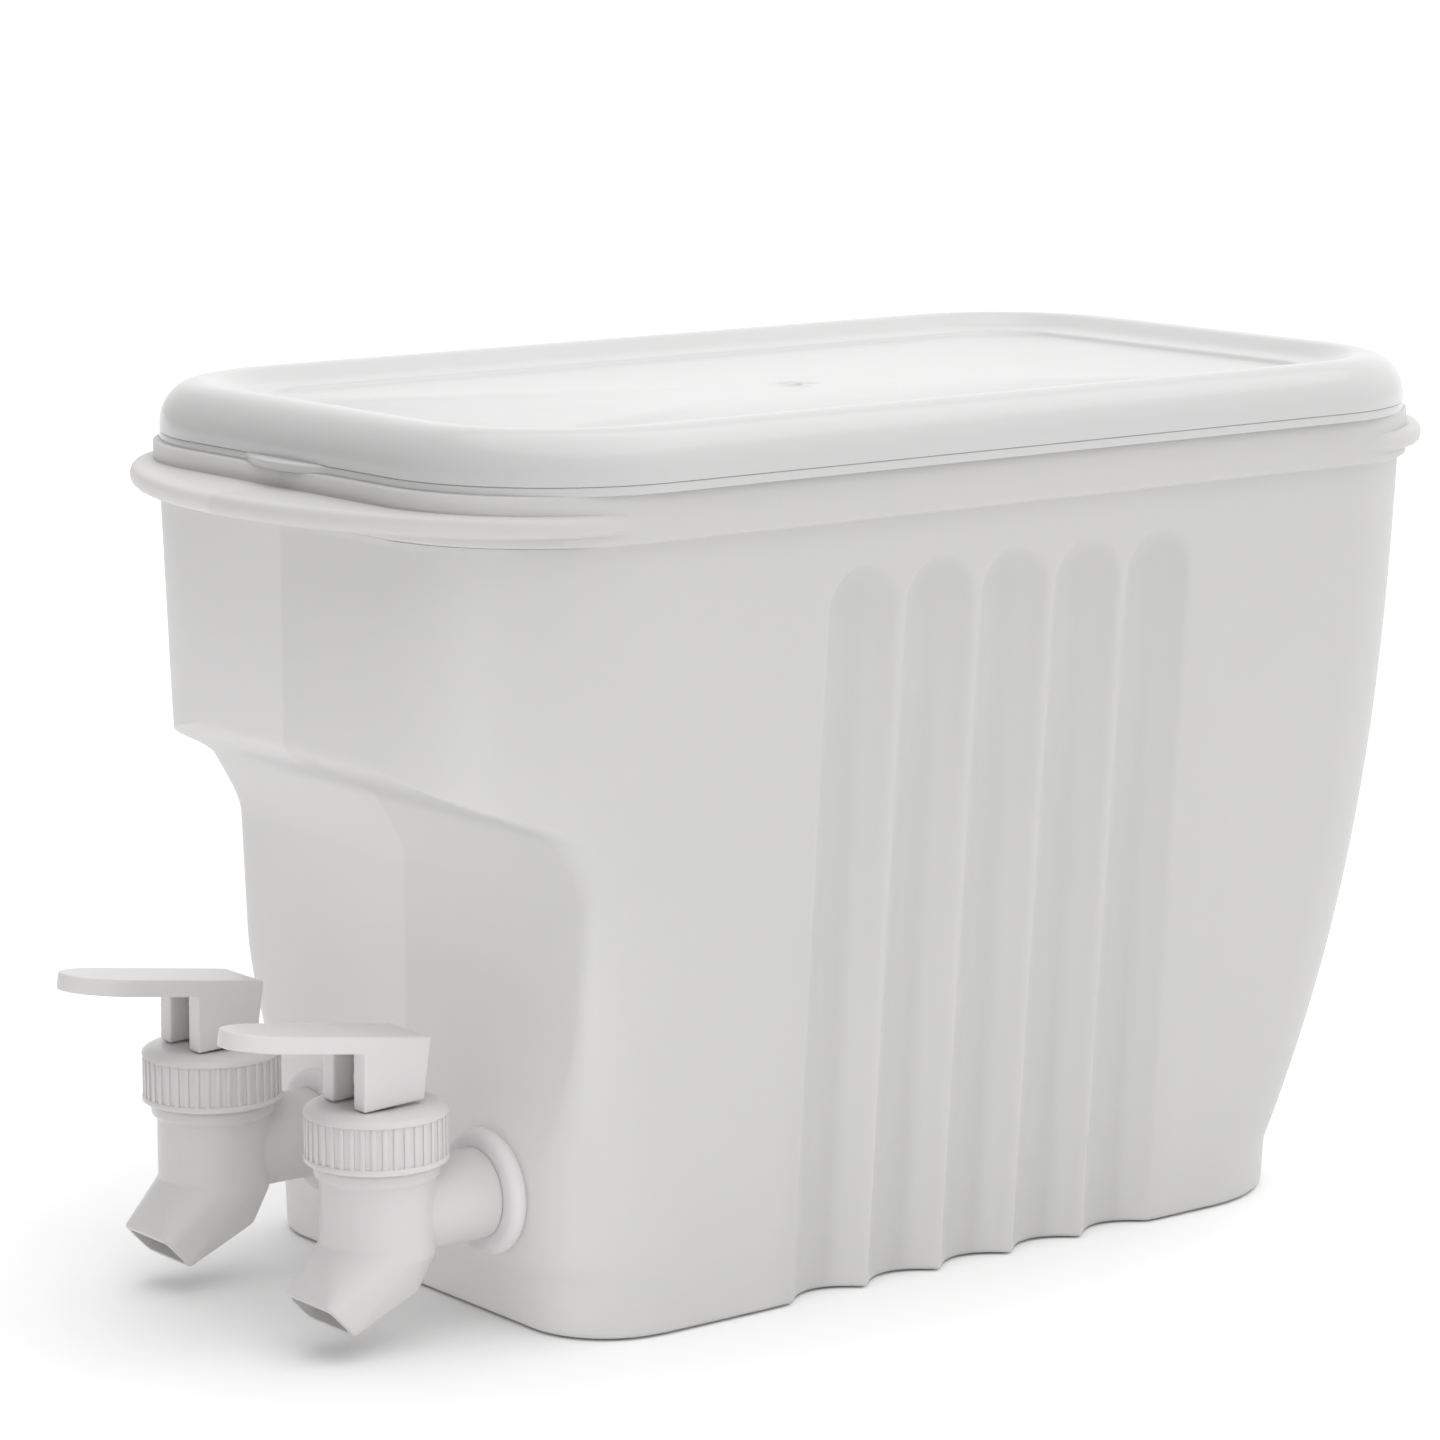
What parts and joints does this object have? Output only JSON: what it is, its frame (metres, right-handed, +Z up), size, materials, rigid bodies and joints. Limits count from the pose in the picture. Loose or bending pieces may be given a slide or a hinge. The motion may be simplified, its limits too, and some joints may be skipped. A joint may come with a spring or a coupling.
{
  "type": "drink dispenser tank",
  "caption": "Long tapered water tank with a lift-off lid, grip ears at the rim, fluted sides and press-lever taps in a front recess.",
  "frame": {"origin": "centre of the tank's base face, on the surface it stands on", "axes": "+Z up, +Y along the tank from the tap end to the plain end, +X along its width; the taps face -Y"},
  "size_m": [0.174, 0.3633, 0.213],
  "materials": {
    "tank_plastic": "translucent natural white, satin",
    "lid_plastic": "white, satin",
    "tap_plastic": "white, semi-gloss",
    "silicone": "white, soft",
    "spring_steel": "bright wire"
  },
  "bodies": {
    "tank_body": {"tank": "tank_plastic", "tap_body_left": "tap_plastic", "cap_nut_left": "tap_plastic", "spring_left": "spring_steel", "stem_seal_left": "silicone", "outer_washer_left": "silicone", "inner_washer_left": "silicone", "lock_nut_left": "tap_plastic", "tap_body_right": "tap_plastic", "cap_nut_right": "tap_plastic", "spring_right": "spring_steel", "stem_seal_right": "silicone", "outer_washer_right": "silicone", "inner_washer_right": "silicone", "lock_nut_right": "tap_plastic"},
    "lid_body": {"lid": "lid_plastic"},
    "stem_left_body": {"stem_left": "tap_plastic", "valve_plug_left": "silicone"},
    "lever_left_body": {"lever_left": "tap_plastic"},
    "stem_right_body": {"stem_right": "tap_plastic", "valve_plug_right": "silicone"},
    "lever_right_body": {"lever_right": "tap_plastic"}
  },
  "joints": [
    {"name": "lid_lift", "type": "slide", "parent": "tank_body", "child": "lid_body", "axis": [0, 0, 1], "range_m": [0, 0.03]},
    {"name": "stem_lift_left", "type": "slide", "parent": "tank_body", "child": "stem_left_body", "axis": [0, 0, 1], "range_m": [0, 0.0028], "deforming": ["spring_left"]},
    {"name": "lever_press_left", "type": "hinge", "parent": "stem_left_body", "child": "lever_left_body", "pos_m": [-0.035, -0.151, 0.0625], "axis": [1, 0, 0], "range_deg": [0, 20], "stiffness_Nm_per_rad": 0.25, "springref_deg": -20.05},
    {"name": "stem_lift_right", "type": "slide", "parent": "tank_body", "child": "stem_right_body", "axis": [0, 0, 1], "range_m": [0, 0.0028], "deforming": ["spring_right"]},
    {"name": "lever_press_right", "type": "hinge", "parent": "stem_right_body", "child": "lever_right_body", "pos_m": [0.035, -0.151, 0.0625], "axis": [1, 0, 0], "range_deg": [0, 20], "stiffness_Nm_per_rad": 0.25, "springref_deg": -20.05}
  ],
  "couplings": [
    {"joint": "stem_lift_left", "follows": "lever_press_left", "m_per_rad": 0.0079},
    {"joint": "stem_lift_right", "follows": "lever_press_right", "m_per_rad": 0.0079}
  ]
}
